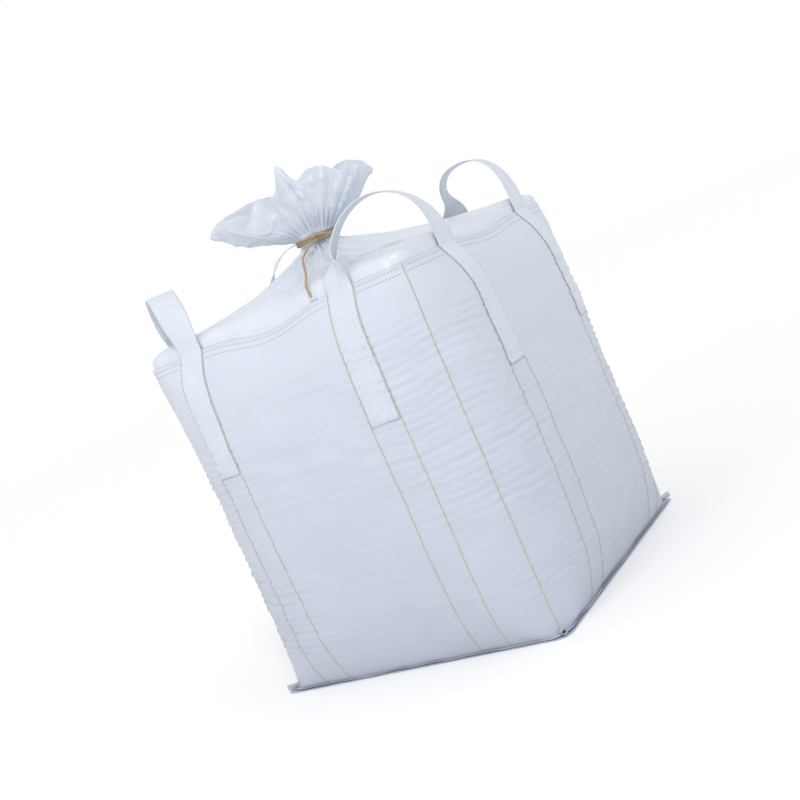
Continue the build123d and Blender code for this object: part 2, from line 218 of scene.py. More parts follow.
def noise(x, y, wrap=256, seed=0):
    """Smooth noise between -1 and 1, whose cells are 1 by 1. x meets itself after wrap cells."""
    x, y = np.asarray(x, float), np.asarray(y, float) + 31.7 * seed
    x0, y0 = np.floor(x).astype(int), np.floor(y).astype(int)
    fx, fy = x - x0, y - y0
    fx, fy = fx * fx * (3 - 2 * fx), fy * fy * (3 - 2 * fy)
    left, right_of = x0 % wrap, (x0 + 1) % wrap
    low, high = y0 % 256, (y0 + 1) % 256
    bottom = TABLE[left, low] * (1 - fx) + TABLE[right_of, low] * fx
    top = TABLE[left, high] * (1 - fx) + TABLE[right_of, high] * fx
    return bottom * (1 - fy) + top * fy


def creases(x, y, wrap=256, seed=0):
    """Thin sharp ridges where the noise changes sign: 1 on a ridge, towards 0 away from it."""
    return (1 - np.abs(noise(x, y, wrap, seed))) ** 3


# %% [markdown]
# ## The wall as a function
# The legs, the marker yarns, the stitches and the hems all lie on the wall, wrinkles and all. If the
# wall is a function from a place on the cloth to a point in space, each of them asks the same function
# and fits. A place on the cloth is how far round the girth it is, from the front wall's middle, and how
# high.

# %% The wall's shape
# How far the rim sags between its loops (front, right, back, left), then how wide and how deep the sag is.
RIM_SAG = (0.026, 0.014, 0.018, 0.016)
SAG_HALF_WIDTH, SAG_DEPTH = 0.42, 0.26
# The spacing of the wall's level ribs, coarse and fine. Then how far the ribs, the creases, the dents and
# the puff below the rim stand out of the wall.
RIB_SPACING, FINE_RIB_SPACING = 0.0235, 0.0128
RIB_HEIGHT, CREASE_HEIGHT, PUFF_HEIGHT = 0.0019, 0.0034, 0.006
DENT_HEIGHT, SMALL_DENT_HEIGHT = 0.0040, 0.0018


def outline(height):
    """Half the wall's width, and its corner radius, at a height."""
    share = np.clip(height / RIM, 0, 1)
    belly = 1 - np.abs(2 * share - 1) ** BELLY_POWER
    radius = END_RADIUS + (BELLY_RADIUS - END_RADIUS) * belly
    return SIDE / 2 * (1 + BELLY_FULLNESS * belly) + radius * (1 - pi / 4), radius


def rounded_square(around, half, radius):
    """Points and outward directions on a rounded square. around goes from 0, at the front's middle, to 1."""
    length = 8 * (half - radius) + 2 * pi * radius
    quarter = np.floor(around * 4 + 0.5)
    local = (around - quarter / 4) * length
    flat = half - radius
    bend = np.maximum(np.abs(local) - flat, 0) / radius
    sign = np.sign(local)
    x = sign * (np.minimum(np.abs(local), flat) + radius * np.sin(bend))
    y = -(flat + radius * np.cos(bend))
    out_x, out_y = sign * np.sin(bend), -np.cos(bend)
    turns = (quarter % 4) * pi / 2
    c, s = np.cos(turns), np.sin(turns)
    return c * x - s * y, s * x + c * y, c * out_x - s * out_y, s * out_x + c * out_y


def rim_sag(girth):
    """How far the rim hangs below its full height."""
    wall = np.floor(girth / SIDE + 0.5)
    local = girth - wall * SIDE
    depth = np.choose(wall.astype(int) % 4, RIM_SAG)
    return depth * np.cos(np.clip(local / SAG_HALF_WIDTH, -0.5, 0.5) * pi) ** 2


def wrinkle(girth, height):
    """How far the wall stands out of its filled shape: fine level creases, and broad soft dents."""
    turns = girth / GIRTH
    drift = 0.010 * noise(turns * 22, height * 4, 22, 3) + 0.004 * noise(turns * 60, height * 16, 60, 7)
    coarse = np.sin(2 * pi * (height + drift) / RIB_SPACING)
    ribs = coarse + 0.45 * np.sin(2 * pi * (height + 1.7 * drift) / FINE_RIB_SPACING)
    long_creases = creases(turns * 16, (height + drift) * 22, 16, 1) - 0.3
    patch = smooth(-0.35, 0.5, noise(turns * 14, height * 5, 14, 4) + 0.15)
    corner = np.abs(((girth / SIDE) % 1) - 0.5) * SIDE
    near_corner = 1 - smooth(0.12, 0.34, corner)
    middle = smooth(0.04, 0.16, height) * (1 - smooth(0.84, 0.95, height))
    strength = (0.30 + 0.70 * patch) * (0.30 + 0.70 * near_corner) * middle
    spread_out = (0.35 + 0.65 * patch) * middle
    below_rim = smooth(0.80, 0.92, height) * (1 - smooth(0.95, 1.01, height))
    puff = PUFF_HEIGHT * below_rim * (0.6 + 0.4 * noise(turns * 20, 0.4, 20, 9))
    broad = DENT_HEIGHT * noise(turns * 14, height * 5, 14, 5)
    broad = broad + SMALL_DENT_HEIGHT * noise(turns * 34, height * 12, 34, 6)
    fine = RIB_HEIGHT * strength * ribs + CREASE_HEIGHT * spread_out * long_creases
    return fine + (broad + puff) * smooth(0.0, 0.08, height)


def wall_point(girth, height, stand_out=0.0):
    """The point of the filled wall there, moved out by stand_out."""
    girth, height = np.broadcast_arrays(np.asarray(girth, float), np.asarray(height, float))
    x, y, out_x, out_y = rounded_square(girth / GIRTH, *outline(height))
    out = stand_out + wrinkle(girth, height) * smooth(RIM + 0.03, RIM - 0.01, height)
    z = height - rim_sag(girth) * smooth(RIM - SAG_DEPTH, RIM, height)
    return np.stack((x + out_x * out, y + out_y * out, z), axis=-1)


# %% [markdown]
# ## Shaders as sums
# A shader's maths is easier to read as Python than as boxes and wires. `Wire` wraps a socket, and adding
# or multiplying two of them adds the Math node. Any other node comes from `Recipe.node`, which sets its
# settings first and then its sockets.

# %% Tools for materials
class Wire:
    """A shader value that can be added, multiplied and so on."""

    def __init__(self, recipe, socket):
        self.recipe, self.socket = recipe, socket

    def maths(self, operation, *others):
        return self.recipe.node("ShaderNodeMath", {"operation": operation}, self, *others)

    def __add__(self, other):
        return self.maths("ADD", other)

    def __mul__(self, other):
        return self.maths("MULTIPLY", other)

    __radd__, __rmul__ = __add__, __mul__


class Recipe:
    """A material with one Principled shader."""

    def __init__(self, name, **constants):
        self.material = bpy.data.materials.new(name)
        self.material.use_nodes = True
        self.tree = self.material.node_tree
        self.shader = self.tree.nodes["Principled BSDF"]
        for key, value in constants.items():
            self.shader.inputs[key.replace("_", " ")].default_value = value

    def node(self, kind, settings=None, *values, out=0, **named):
        node = self.tree.nodes.new(kind)
        for key, value in (settings or {}).items():
            setattr(node, key, value)
        sockets = list(zip(node.inputs, values))
        sockets += [(node.inputs[key.replace("_", " ")], value) for key, value in named.items()]
        for socket, value in sockets:
            self.put(socket, value)
        return Wire(self, node.outputs[out])

    def put(self, socket, value):
        if isinstance(value, Wire):
            self.tree.links.new(value.socket, socket)
        elif value is not None:
            socket.default_value = value

    def feed(self, **inputs):
        for key, value in inputs.items():
            self.put(self.shader.inputs[key.replace("_", " ")], value)

    def metres(self):
        """The sheet's own UV map, in metres, as two values."""
        uv = self.node("ShaderNodeTexCoord", out=2)
        split = self.tree.nodes.new("ShaderNodeSeparateXYZ")
        self.tree.links.new(uv.socket, split.inputs[0])
        return Wire(self, split.outputs[0]), Wire(self, split.outputs[1])

    def place(self):
        return self.node("ShaderNodeTexCoord", out=3)

    def height(self):
        """Metres above the floor."""
        return self.node("ShaderNodeSeparateXYZ", {}, self.place(), out=2)

    def see_through(self, share, colour):
        """Lets a share of the light through, scattered."""
        glow = self.node("ShaderNodeBsdfTranslucent", {}, Color=colour)
        solid = Wire(self, self.shader.outputs[0])
        both = self.node("ShaderNodeMixShader", {}, share, solid, glow)
        self.put(self.tree.nodes["Material Output"].inputs["Surface"], both)

    def cloud(self, scale, detail=3.0, where=None):
        """Soft noise from 0 to 1 in the object's own space."""
        return self.node("ShaderNodeTexNoise", {}, Vector=where or self.place(), Scale=scale, Detail=detail)

    def between(self, low, high, share):
        mixed = self.node("ShaderNodeMix", {"data_type": "RGBA"}, out=2)
        mix = mixed.socket.node
        self.put(mix.inputs[0], share)
        self.put(mix.inputs[6], low)
        self.put(mix.inputs[7], high)
        return mixed

    def relief(self, height, depth, strength=1.0):
        return self.node("ShaderNodeBump", {}, Height=height, Distance=depth, Strength=strength)


def waves(value, length):
    """A sine of a value in metres, whose wavelength is length."""
    return (value * (2 * pi / length)).maths("SINE")


# %% [markdown]
# ## The fabrics
# Woven polypropylene is flat tape, 2.5 mm wide, over and under. Two sine waves at right angles,
# multiplied, give its chequer of small pillows. The cloth is white with a blue cast, and its colour is
# painted darker towards the floor: painted shade, for light that falls from above. The skirt is a thin
# coated film, and some light comes through it, so it gets a share of a translucent shader.

# %% Fabric materials
# WHITE_LOW is the painted shade low on the wall, WHITE_HIGH the lit cloth near the rim; random tone and the
# weave also move between them.
WHITE_LOW, WHITE_HIGH = (0.42, 0.46, 0.54, 1), (0.64, 0.69, 0.78, 1)
TAPE = 0.0052


def woven(name, rough, depth):
    recipe = Recipe(name, Specular_IOR_Level=0.35, Sheen_Weight=0.08)
    across, along = recipe.metres()
    pillows = waves(across, TAPE) * waves(along, TAPE)
    tapes = recipe.cloud(420.0, 1.0)
    soft = recipe.cloud(9.0, 4.0)
    # The height term is painted shade: the cloth is painted darker towards the floor, for light from above.
    # The soft cloud is random tone, and the pillows and tapes are the weave.
    painted_shade_and_tone = recipe.height() * 0.62 + 0.05 + soft * 0.2 + pillows * 0.03 + tapes * 0.08
    recipe.feed(Base_Color=recipe.between(WHITE_LOW, WHITE_HIGH, painted_shade_and_tone),
                Roughness=soft * 0.15 + rough, Normal=recipe.relief(pillows * 0.5 + tapes, depth))
    return recipe.material


wall_fabric = woven("woven_wall_fabric", 0.42, 0.00035)
base_fabric = woven("woven_base_fabric", 0.45, 0.00035)

skirt = Recipe("coated_skirt_fabric", Specular_IOR_Level=0.55, Coat_Weight=0.45, Coat_Roughness=0.18)
across, along = skirt.metres()
film = skirt.cloud(11.0, 4.0)
crumple = skirt.cloud(38.0, 2.0)
ribs = waves(across, TAPE) * waves(along, TAPE)
skirt.feed(Base_Color=skirt.between((0.56, 0.61, 0.70, 1), (0.72, 0.77, 0.84, 1), film),
           Roughness=film * 0.18 + 0.22, Normal=skirt.relief(crumple + film * 1.5 + ribs * 0.05, 0.0018))
free_end = skirt.node("ShaderNodeMapRange", {}, skirt.height(), 1.19, 1.26, 0.0, 0.30)
skirt.see_through(free_end, (0.93, 0.97, 1.0, 1))
skirt_fabric = skirt.material

webbing = Recipe("lift_webbing", Specular_IOR_Level=0.3, Sheen_Weight=0.15)
across, along = webbing.metres()
TWILL, STRAND = 0.0125, 0.0022
twill = waves(across, TWILL) * waves(along, TWILL)
strands = waves(across, STRAND)
tone = webbing.cloud(30.0, 4.0)
# The height term is painted shade: the webbing is painted darker towards the floor, for light from above.
# The cloud is random tone, and twill is the weave.
webbing.feed(Base_Color=webbing.between((0.53, 0.58, 0.66, 1), (0.68, 0.73, 0.81, 1),
                                        tone * 0.4 + twill * 0.22 + webbing.height() * 0.35 + 0.05),
             Roughness=tone * 0.1 + 0.45, Normal=webbing.relief(twill + strands * 0.2, 0.0004))
lift_webbing = webbing.material

marker = Recipe("marker_yarn", Roughness=0.5)
fade = marker.cloud(38.0, 2.0)
across, along = marker.metres()
marker.feed(Base_Color=marker.between((0.40, 0.36, 0.19, 1), (0.60, 0.56, 0.40, 1), fade),
            Normal=marker.relief(waves(along, TAPE), 0.0004))
marker_yarn = marker.material


def thread(name, dark, light):
    recipe = Recipe(name, Roughness=0.65)
    recipe.feed(Base_Color=recipe.between(dark, light, recipe.cloud(300.0, 2.0)),
                Normal=recipe.relief(recipe.cloud(1500.0, 1.0), 0.0002))
    return recipe.material


seam_thread = thread("brown_seam_thread", (0.20, 0.15, 0.09, 1), (0.42, 0.34, 0.22, 1))
white_thread = thread("white_webbing_thread", (0.58, 0.62, 0.68, 1), (0.78, 0.81, 0.86, 1))
twine = thread("brown_twine", (0.27, 0.17, 0.085, 1), (0.56, 0.42, 0.26, 1))
print(len(bpy.data.materials), "materials")


def dress(piece, material, slot, body=None, *nodes):
    """Gives a piece its material and its body, and hides the plain nodes that it stands for. slot is not
    used.
    """
    piece.data.materials.clear()
    piece.data.materials.append(material)
    if body:
        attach(piece, body)
    if nodes:
        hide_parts(*nodes)
    return piece


# %% [markdown]
# ## The tie cord
# The cord comes first, because its length is a fact. One piece of brown twine is sewn to the skirt just
# above the rim, runs up the skirt, goes twice round the gathered neck, and ends in a knot with a short
# cut end. A curve's control points pull it smoothly along. The turns are more points of the same curve,
# worked out by a loop.

# %% Tie cord
CORD = 0.006
CORD_RUN = (
    (0.171, -0.464, 1.032), (0.166, -0.459, 1.056), (0.150, -0.431, 1.069), (0.124, -0.382, 1.0825),
    (0.088, -0.322, 1.097), (0.047, -0.260, 1.111), (0.008, -0.201, 1.1265), (-0.018, -0.153, 1.1435),
    (-0.017, -0.119, 1.160), (0.002, -0.090, 1.179),
)
CORD_END = (
    (0.0155, -0.083, 1.1875), (0.027, -0.079, 1.187), (0.038, -0.071, 1.183), (0.046, -0.061, 1.177),
)
CORD_TURNS, POINTS_A_TURN, CORD_PITCH = 2, 14, 0.0063
KNOT_AZIMUTH = BLOOM_AZIMUTH - 90
first_angle, last_angle = KNOT_AZIMUTH + 14, KNOT_AZIMUTH + 360 * CORD_TURNS - 14
turn_radius = (NECK_RADIUS + 0.00025 + CORD / 2) / cos(pi / POINTS_A_TURN) ** 0.5
turn_count = CORD_TURNS * POINTS_A_TURN
cord_points = list(CORD_RUN)
for step in range(turn_count + 1):
    angle = radians(first_angle + (last_angle - first_angle) * step / turn_count)
    height = NECK.z + CORD_PITCH * CORD_TURNS * (step / turn_count - 0.5)
    cord_points.append((NECK.x + turn_radius * cos(angle), NECK.y + turn_radius * sin(angle), height))
cord_points += CORD_END

cord_curve = bpy.data.curves.new("tie_cord", "CURVE")
cord_curve.dimensions = "3D"
spline = cord_curve.splines.new("NURBS")
spline.points.add(len(cord_points) - 1)
for point, place in zip(spline.points, cord_points):
    point.co = (*place, 1)
spline.order_u = 3
spline.use_endpoint_u = True
spline.resolution_u = 8
cord_curve.bevel_depth, cord_curve.bevel_resolution, cord_curve.use_fill_caps = CORD / 2, 4, True
tie_cord = bpy.data.objects.new("tie_cord", cord_curve)
bpy.context.collection.objects.link(tie_cord)
cord_curve.materials.append(twine)
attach(tie_cord, "bag")
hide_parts("tie_cord_run", "tie_cord_wraps", "tie_cord_short_end")
print("cord points", len(cord_points))

# %% [markdown]
# The knot is where the loose run and the short end cross. A reef knot is two bights of cord through each
# other, so two small closed curves do it: each goes over and under the other.

# %% Knot
def knot_bight(flip):
    """Points of one bight of the knot, in a frame whose x is along the neck's turn and y is up."""
    points = []
    for step in range(12):
        angle = 2 * pi * step / 12
        along = flip * (0.0035 + 0.0085 * cos(angle))
        over = flip * 0.0036 * cos(2 * angle + 0.4)
        points.append((along, 0.0062 * sin(angle), over + 0.0015 * sin(angle)))
    return points


knot_low, knot_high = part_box("tie_cord_knot")
knot_middle = (knot_low + knot_high) / 2 - TO_FRONT * 0.002
knot_curve = bpy.data.curves.new("tie_knot", "CURVE")
knot_curve.dimensions = "3D"
for flip in (-1, 1):
    bight = knot_curve.splines.new("NURBS")
    places = knot_bight(flip)
    bight.points.add(len(places) - 1)
    for point, (along, rise, out) in zip(bight.points, places):
        spot = knot_middle + SPREAD * along + Vector((0, 0, rise)) + TO_FRONT * out
        point.co = (*spot, 1)
    bight.order_u = 3
    bight.use_cyclic_u = True
knot_curve.bevel_depth, knot_curve.bevel_resolution = CORD * 0.48, 3
tie_knot = bpy.data.objects.new("tie_knot", knot_curve)
bpy.context.collection.objects.link(tie_knot)
knot_curve.materials.append(twine)
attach(tie_knot, "bag")
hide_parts("tie_cord_knot")

# %% [markdown]
# ## The woven wall
# The tube has no side seam: it comes off a round loom. A cylinder could be given loop cuts and pushed
# about, but the wall's shape is already a function, so a grid is wrapped round it and welded where its
# ends meet.

# %% Wall
WALL_COLUMNS, WALL_ROWS = 400, 150


def wall_sheet(across, along):
    return wall_point(across * GIRTH - SIDE / 2, FOOT + along * (RIM - FOOT))


bag_wall = cloth("bag_wall", WALL_COLUMNS, WALL_ROWS, wall_sheet, (GIRTH, RIM - FOOT), closed=True)
dress(bag_wall, wall_fabric, "wall_fabric", "bag", "body_tube")

# %% [markdown]
# ## Marker yarns
# A few warp yarns are dyed, to show the sewer where each leg goes. There is one on each corner, and one
# at each edge of each leg's band. Each is a strip two faces wide, laid on the wall.

# %% Marker yarns
YARN_WIDTH, YARN_ROWS, YARN_STAND_OUT = 0.0030, 150, 0.0006


def yarn_strip(girth):
    def place(across, along):
        height = FOOT + 0.001 + along * (RIM - FOOT - 0.001)
        return wall_point(girth + (across - 0.5) * YARN_WIDTH, height, YARN_STAND_OUT)
    return place


def join(name, pieces):
    clear_selection()
    for piece in pieces:
        piece.select_set(True)
    bpy.context.view_layer.objects.active = pieces[0]
    bpy.ops.object.join()
    pieces[0].name = name
    return pieces[0]


for number, (name, (before, after, _, _)) in enumerate(LOOPS.items()):
    corner = SIDE / 2 + number * SIDE
    edge = WEBBING_WIDTH / 2 + 0.002 + YARN_WIDTH / 2
    places = [corner, before - edge, before + edge, after - edge, after + edge]
    strips = [cloth("strip", 2, YARN_ROWS, yarn_strip(place), (YARN_WIDTH, RIM)) for place in places]
    yarns = join("marker_yarns_of_" + name, strips)
    dress(yarns, marker_yarn, "marker_yarn", "bag", "marker_yarns_" + name)

# %% [markdown]
# ## Lift loops
# Each loop is one strap: up a wall, over the corner and down the next wall. The legs ask the wall where
# to lie. Above the rim the strap is free. It stands up between its feet, as stiff webbing does, and it
# twists: its width lies along the wall at each foot, and turns to `face` (an azimuth) at the top. How
# soon it turns differs from foot to foot.

# %% Straps
STRAP_COLUMNS, LEG_ROWS, FREE_ROWS = 14, 40, 84
STRAP_STAND_OUT, FREE_RISE = 0.0020, 0.012
# The azimuth of the strap's width at the top, how soon it turns there from each foot, how far the arch
# leans outward, how much further its first half does than its second, and its squareness (2 is an ellipse).
TWISTS = {
    "front_right": (-70, 0.16, 0.34, 0.0, 0.0, 2.0),
    "back_right": (106, 0.40, 0.22, -0.026, 0.020, 2.3),
    "back_left": (135, 0.30, 0.30, 0.0, 0.0, 2.3),
    "front_left": (-140, 0.24, 0.24, 0.004, 0.0, 2.3),
}


def strap_points(name, before, after, height, lean):
    """Rows of points across the strap, from the lower end of its first leg to that of its second."""
    across = (np.arange(STRAP_COLUMNS + 1) / STRAP_COLUMNS - 0.5) * WEBBING_WIDTH
    heights = RIM - LEG_LENGTH + (LEG_LENGTH + FREE_RISE) * np.arange(LEG_ROWS + 1) / LEG_ROWS
    rows = [wall_point(before + across, level, STRAP_STAND_OUT) for level in heights]
    beside = np.array((0, 0.01))
    ends = [wall_point(girth + beside, RIM + FREE_RISE, STRAP_STAND_OUT) for girth in (before, after)]
    (first, first_way), (second, second_way) = [(end[0], (end[1] - end[0]) * 100) for end in ends]
    face, soon_first, soon_second, outward_lean, skew, power = TWISTS[name]
    top_width = np.array((cos(radians(face)), sin(radians(face)), 0))
    middle, chord = (first + second) / 2, second - first
    half_span = np.linalg.norm(chord) / 2
    chord /= 2 * half_span
    out = np.cross(chord, (0, 0, 1))
    rise = height - FREE_RISE

    def line(part):
        angle = pi * part
        share = -np.sign(cos(angle)) * abs(cos(angle)) ** (2 / power)
        lift = max(sin(angle), 0) ** (2 / power)
        sway = chord * (lean * lift) + out * (outward_lean * sin(angle) + skew * sin(2 * angle))
        return middle + chord * (half_span * share) + sway + np.array((0, 0, rise * lift))

    for step in range(1, FREE_ROWS):
        part = step / FREE_ROWS
        tangent = line(min(part + 0.002, 1)) - line(max(part - 0.002, 0))
        tangent /= np.linalg.norm(tangent)
        stay_first = 1 - float(smooth(0.0, soon_first, part))
        stay_second = 1 - float(smooth(0.0, soon_second, 1 - part))
        turned = 1 - stay_first - stay_second
        width = first_way * stay_first - second_way * stay_second + top_width * turned
        width = width - tangent * width.dot(tangent)
        width /= np.linalg.norm(width)
        rows.append(line(part) + across[:, None] * width)
    for level in heights[::-1]:
        rows.append(wall_point(after - across, level, STRAP_STAND_OUT))
    return np.array(rows)


lift_straps = {}
for name, (before, after, height, lean) in LOOPS.items():
    grid = strap_points(name, before, after, height, lean)
    steps = np.linalg.norm(np.diff(grid[:, STRAP_COLUMNS // 2], axis=0), axis=1)
    strap = cloth("lift_strap_" + name, STRAP_COLUMNS, len(grid) - 1, lambda across, along: grid,
                  (WEBBING_WIDTH, steps.sum()), thickness=WEBBING)
    dress(strap, lift_webbing, "lift_webbing")
    first, second = (f"loop_{name}_leg_on_{wall}" for wall in LEGS[name])
    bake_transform(strap)
    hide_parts(f"loop_{name}_arch", first, second)
    lift_straps[name] = strap
    print(name, "strap is", round(steps.sum(), 3), "m long")

# %% [markdown]
# ## Stitches
# A stitch is a short bead of thread that dives into the cloth at both ends. One bead is modelled once,
# from a cylinder whose ends are drawn in, and copied along each row as mesh data, which is far lighter
# than hundreds of objects.

# %% Stitches
STITCH, STITCH_GAP, THREAD = 0.0060, 0.0030, 0.0012

clear_selection()
bpy.ops.mesh.primitive_cylinder_add(vertices=6, radius=THREAD / 2, depth=STITCH, rotation=(0, pi / 2, 0))
bead = bpy.context.object
bpy.ops.object.transform_apply(location=False, rotation=True, scale=False)
bpy.ops.object.mode_set(mode="EDIT")
work = bmesh.from_edit_mesh(bead.data)
for edge in work.edges:
    edge.select_set(abs(edge.verts[0].co.x - edge.verts[1].co.x) > STITCH / 2)
bmesh.update_edit_mesh(bead.data)
bpy.ops.mesh.subdivide(number_cuts=2)
bpy.ops.object.mode_set(mode="OBJECT")
BEAD = np.array([v.co for v in bead.data.vertices])
bulge = 1 - (2 * np.abs(BEAD[:, 0]) / STITCH) ** 4
BEAD[:, 2] = BEAD[:, 2] * (0.45 + 0.55 * bulge) + (bulge - 1) * THREAD * 0.6
BEAD[:, 1] *= 0.5 + 0.5 * bulge
BEAD_FACES = [list(p.vertices) for p in bead.data.polygons]
bpy.data.objects.remove(bead)


def stitch_rows(name, rows, length=STITCH, gap=STITCH_GAP):
    """One mesh of stitches. Each row is a list of points with the cloth's outward direction at each."""
    vertices, faces = [], []
    for points, outwards in rows:
        steps = np.linalg.norm(np.diff(points, axis=0), axis=1)
        run = np.concatenate(([0], np.cumsum(steps)))
        centres = np.arange(length / 2, run[-1] - length / 2, length + gap)
        spots = np.stack([np.interp(centres, run, points[:, axis]) for axis in range(3)], axis=1)
        ahead = np.stack([np.interp(centres + length / 2, run, points[:, a]) for a in range(3)], axis=1)
        outs = np.stack([np.interp(centres, run, outwards[:, a]) for a in range(3)], axis=1)
        for spot, front, out in zip(spots, ahead, outs):
            x = (front - spot) / np.linalg.norm(front - spot)
            z = out - x * out.dot(x)
            z /= np.linalg.norm(z)
            y = np.cross(z, x)
            base = len(vertices) * len(BEAD)
            stretched = BEAD * (length / STITCH, 1, 1)
            vertices.append(spot + stretched @ np.array((x, y, z)))
            faces += [[base + corner for corner in face] for face in BEAD_FACES]
    mesh = bpy.data.meshes.new(name)
    mesh.from_pydata(np.concatenate(vertices).tolist(), [], faces)
    piece = bpy.data.objects.new(name, mesh)
    bpy.context.collection.objects.link(piece)
    for polygon in mesh.polygons:
        polygon.use_smooth = True
    print(name, len(vertices), "stitches")
    return piece


def outward(girth, height):
    """The level direction out of the wall there."""
    return (wall_point(girth, height, 0.01) - wall_point(girth, height)) * 100


def row_on_wall(girth, height, stand_out):
    girth, height = np.broadcast_arrays(np.asarray(girth, float), np.asarray(height, float))
    return wall_point(girth, height, stand_out), outward(girth, height)


ON_WEBBING = STRAP_STAND_OUT + WEBBING / 2 + 0.0004
for name, (before, after, _, _) in LOOPS.items():
    rows = []
    low, high = RIM - LEG_LENGTH + 0.012, RIM - 0.012
    levels = np.linspace(low, high, 90)
    for girth in (before, after):
        for side in (-0.031, -0.025, 0.025, 0.031):
            rows.append(row_on_wall(girth + side, levels, ON_WEBBING))
        for level in (low, low + 0.012, low + 0.16, high):
            rows.append(row_on_wall(girth + np.linspace(-0.029, 0.029, 12), level, ON_WEBBING))
    piece = stitch_rows("leg_stitches_" + name, rows)
    dress(piece, white_thread, "webbing_stitching", "bag", f"loop_{name}_stitching")

# %% [markdown]
# ## Rim and base
# The rim is folded in and sewn with two rows. The wall's edge could simply get thickness, but the fold
# shows as a soft rounded edge, and so a closed band is wrapped over it. The base is a flat panel that
# keeps its plain shape.

# %% Rim hem
HEM_DEPTH = 0.036


def hem_profile(along):
    """The hem's section: (outward, up) from the rim's edge, down the inside and back."""
    points = np.array((
        (0.0003, -0.005), (0.0007, -0.001), (0.0003, 0.0006), (-0.0010, 0.0010),
        (-0.0028, 0.0004), (-0.0033, -0.004), (-0.0033, -HEM_DEPTH), (-0.0022, -HEM_DEPTH),
        (-0.0018, -0.006), (-0.0006, -0.006), (0.0003, -0.005),
    ))
    run = np.linspace(0, 1, len(points))
    return np.interp(along, run, points[:, 0]), np.interp(along, run, points[:, 1])


def hem_sheet(across, along):
    out, rise = hem_profile(along)
    girth = across * GIRTH
    point = wall_point(girth, RIM + 0 * girth, out)
    depth = np.minimum(rise, 0)
    inside = wall_point(girth, RIM + depth, out)
    inside[..., 2] = point[..., 2] + rise
    return inside


rim_hem = cloth("rim_hem_fold", 360, 10, hem_sheet, (GIRTH, 0.08), closed=True)
dress(rim_hem, wall_fabric, "wall_fabric", "bag", "rim_hem")

HEM_STITCH_DEPTHS = (0.010, 0.024)
leg_girths = [girth for legs in LOOPS.values() for girth in legs[:2]]
rows = []
for depth in HEM_STITCH_DEPTHS:
    for number in range(4):
        from_middle = [(girth - number * SIDE + GIRTH / 2) % GIRTH - GIRTH / 2 for girth in leg_girths]
        left, right_leg = sorted(girth for girth in from_middle if abs(girth) < SIDE / 2)
        clear = WEBBING_WIDTH / 2 + 0.008
        for low, high in ((-SIDE / 2 + 0.006, left - clear), (left + clear, right_leg - clear),
                          (right_leg + clear, SIDE / 2 - 0.006)):
            if high - low > 0.02:
                girths = number * SIDE + np.linspace(low, high, max(4, int((high - low) / 0.006)))
                rows.append(row_on_wall(girths, RIM - depth, 0.0005))
dress(stitch_rows("rim_stitches", rows), seam_thread, "seam_thread", "bag", "rim_stitching")

# %% [markdown]
# The base's seam sticks out all round. Two layers of cloth are sewn flat and then wave a little. A
# bevelled band would look like a tray's rim, so a flat loop of cloth is wrapped round the base, and
# noise lifts its outer edge.

# %% Base seam
seam_low, seam_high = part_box("base_seam_hem")
SEAM_HALF, SEAM_RADIUS = seam_high.x, 0.039
SEAM_FOOT = seam_low.z


SEAM_RADIUS_OF_LIP, SEAM_INSET, SEAM_LIFT = 0.0085, 0.021, 0.009


def seam_wave(turns):
    return 0.5 + 0.5 * noise(turns * 60, 0.3, 60, 8)


def seam_sheet(across, along):
    """A flattened loop of cloth: out along its lower face, round its edge, and back on its upper face."""
    angle = 2 * pi * along
    reach = SEAM_RADIUS_OF_LIP + SEAM_RADIUS_OF_LIP * np.cos(angle)
    wave = seam_wave(across)
    edge = 0.0025 * noise(across * 90, 1.7, 90, 9) * (reach / 0.017)
    x, y, out_x, out_y = rounded_square(across, SEAM_HALF - SEAM_INSET, SEAM_RADIUS)
    out = reach + edge
    lift = SEAM_FOOT + 0.0016 + 0.0014 * np.sin(angle) + SEAM_LIFT * wave * (reach / 0.017) ** 2
    return np.stack((x + out_x * out, y + out_y * out, lift), axis=-1)


base_seam = cloth("base_seam_lip", 480, 12, seam_sheet, (GIRTH, 0.045), closed=True)
dress(base_seam, base_fabric, "base_fabric", "bag", "base_seam_hem")
dress(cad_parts["base_panel"], base_fabric, "base_fabric")

turns = np.linspace(0, 1, 900)
x, y, out_x, out_y = rounded_square(turns, SEAM_HALF - 0.009, SEAM_RADIUS)
lift = SEAM_FOOT + 0.0016 + 0.0016 + SEAM_LIFT * seam_wave(turns) * (12 / 17) ** 2
seam_line = np.stack((x, y, lift), axis=-1)
ups = np.tile((0.0, 0.0, 1.0), (len(turns), 1))
dress(stitch_rows("base_stitches", [(seam_line, ups)], 0.008, 0.003), seam_thread, "seam_thread", "bag",
      "base_seam_stitching")

# %% [markdown]
# At each corner of the base the spare seam fabric rolls up into a small ear. It is a short rolled tube:
# a sheet whose section is a spiral, a little wider at its outer end.

